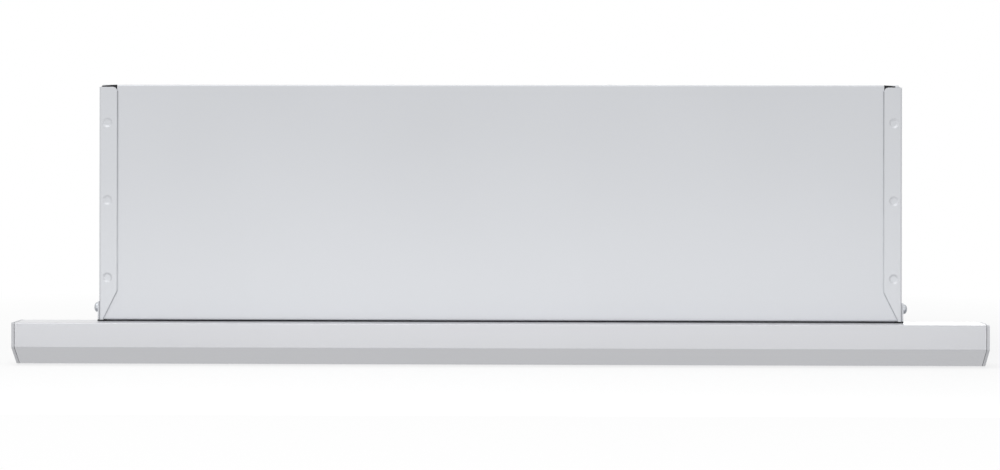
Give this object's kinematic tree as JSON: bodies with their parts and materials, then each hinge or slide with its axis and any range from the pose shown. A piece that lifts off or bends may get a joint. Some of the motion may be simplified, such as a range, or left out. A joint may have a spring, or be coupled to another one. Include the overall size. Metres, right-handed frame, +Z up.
{
  "type": "pull out range hood",
  "caption": "Slim telescopic cooker hood: sheet body for a wall cabinet, full-width front bar on a pull-out glass visor, drop-down grease filters, blower and round top outlet.",
  "frame": {"origin": "under the middle of the closed hood, on the surface that it rests on", "axes": "+Z up, the bar and the body front face -Y, +X along the bar to the right as seen from the front"},
  "size_m": [0.598, 0.29, 0.1747],
  "materials": {
    "body_paint": "silver-grey powder coat, satin",
    "bar_paint": "silver-grey paint, satin",
    "cap_plastic": "moulded plastic painted to match the bar",
    "zinc_steel": "bright zinc plate",
    "grey_plastic": "fine-grained grey moulded plastic",
    "black_plastic": "fine-grained black moulded plastic",
    "white_plastic": "plain white moulded plastic",
    "filter_aluminium": "expanded aluminium mesh in a folded frame",
    "visor_glass": "clear toughened glass",
    "lamp_lens": "frosted lamp cover"
  },
  "bodies": {
    "hood": {"body_shell": "body_paint", "side_panel_left": "body_paint", "side_panel_right": "body_paint", "base_frame": "body_paint", "side_screw_front_left": "zinc_steel", "side_screw_front_right": "zinc_steel", "side_screw_rear_left": "zinc_steel", "side_screw_rear_right": "zinc_steel", "rail_screw_1": "zinc_steel", "rail_screw_2": "zinc_steel", "rail_screw_3": "zinc_steel", "rail_screw_4": "zinc_steel", "rail_outer_left": "zinc_steel", "rail_outer_right": "zinc_steel", "outlet_duct": "black_plastic", "outlet_screw_1": "zinc_steel", "outlet_screw_2": "zinc_steel", "outlet_screw_3": "zinc_steel", "outlet_screw_4": "zinc_steel", "blower_half_left": "black_plastic", "blower_half_right": "black_plastic", "motor_housing": "zinc_steel", "motor_bracket": "zinc_steel", "electrics_box": "white_plastic", "electrics_lid": "white_plastic", "capacitor": "filter_aluminium", "terminal_block": "white_plastic", "cable_gland": "black_plastic", "lamp_lens_left": "lamp_lens", "lamp_lens_right": "lamp_lens", "lamp_housing_left": "white_plastic", "lamp_housing_right": "white_plastic", "control_fascia": "grey_plastic", "speed_switch_body": "black_plastic", "light_switch_body": "black_plastic", "microswitch_body": "black_plastic"},
    "rail_runners": {"rail_middle_left": "zinc_steel", "rail_middle_right": "zinc_steel"},
    "visor": {"rail_inner_left": "zinc_steel", "rail_inner_right": "zinc_steel", "visor_frame": "grey_plastic", "visor_glass": "visor_glass", "front_bar": "bar_paint", "end_cap_left": "cap_plastic", "end_cap_right": "cap_plastic", "bar_screw_1": "zinc_steel", "bar_screw_2": "zinc_steel", "bar_screw_3": "zinc_steel"},
    "blower_rotor": {"motor_shaft": "zinc_steel", "fan_wheel": "black_plastic", "wheel_nut": "zinc_steel"},
    "filter_left": {"filter_frame_left": "filter_aluminium", "filter_mesh_left": "filter_aluminium"},
    "filter_right": {"filter_frame_right": "filter_aluminium", "filter_mesh_right": "filter_aluminium"},
    "latch_left": {"filter_latch_left": "black_plastic"},
    "latch_right": {"filter_latch_right": "black_plastic"},
    "speed_knob": {"speed_slider": "black_plastic"},
    "light_knob": {"light_slider": "black_plastic"},
    "microswitch_arm": {"microswitch_lever": "zinc_steel"}
  },
  "joints": [
    {"name": "visor_slide", "type": "slide", "parent": "hood", "child": "visor", "axis": [0, -1, 0], "range_m": [0, 0.15]},
    {"name": "rail_slide", "type": "slide", "parent": "hood", "child": "rail_runners", "axis": [0, -1, 0], "range_m": [0, 0.075]},
    {"name": "wheel_spin", "type": "hinge", "parent": "hood", "child": "blower_rotor", "pos_m": [0, 0.064, 0.1], "axis": [1, 0, 0], "continuous": true},
    {"name": "filter_left_drop", "type": "hinge", "parent": "hood", "child": "filter_left", "pos_m": [-0.111, 0.123, 0.0015], "axis": [1, 0, 0], "range_deg": [0, 75]},
    {"name": "filter_right_drop", "type": "hinge", "parent": "hood", "child": "filter_right", "pos_m": [0.111, 0.123, 0.0015], "axis": [1, 0, 0], "range_deg": [0, 75]},
    {"name": "latch_left_slide", "type": "slide", "parent": "filter_left", "child": "latch_left", "axis": [0, 1, 0], "range_m": [0, 0.004], "stiffness_N_per_m": 300},
    {"name": "latch_right_slide", "type": "slide", "parent": "filter_right", "child": "latch_right", "axis": [0, 1, 0], "range_m": [0, 0.004], "stiffness_N_per_m": 300},
    {"name": "speed_slide", "type": "slide", "parent": "hood", "child": "speed_knob", "axis": [1, 0, 0], "range_m": [0, 0.018]},
    {"name": "light_slide", "type": "slide", "parent": "hood", "child": "light_knob", "axis": [1, 0, 0], "range_m": [0, 0.006]},
    {"name": "microswitch_press", "type": "hinge", "parent": "hood", "child": "microswitch_arm", "pos_m": [-0.22825, 0.0655, 0.0061], "axis": [-1, 0, 0], "range_deg": [0, 10], "stiffness_Nm_per_rad": 0.05}
  ],
  "couplings": [
    {"joint": "rail_slide", "follows": "visor_slide", "ratio": 0.5}
  ]
}
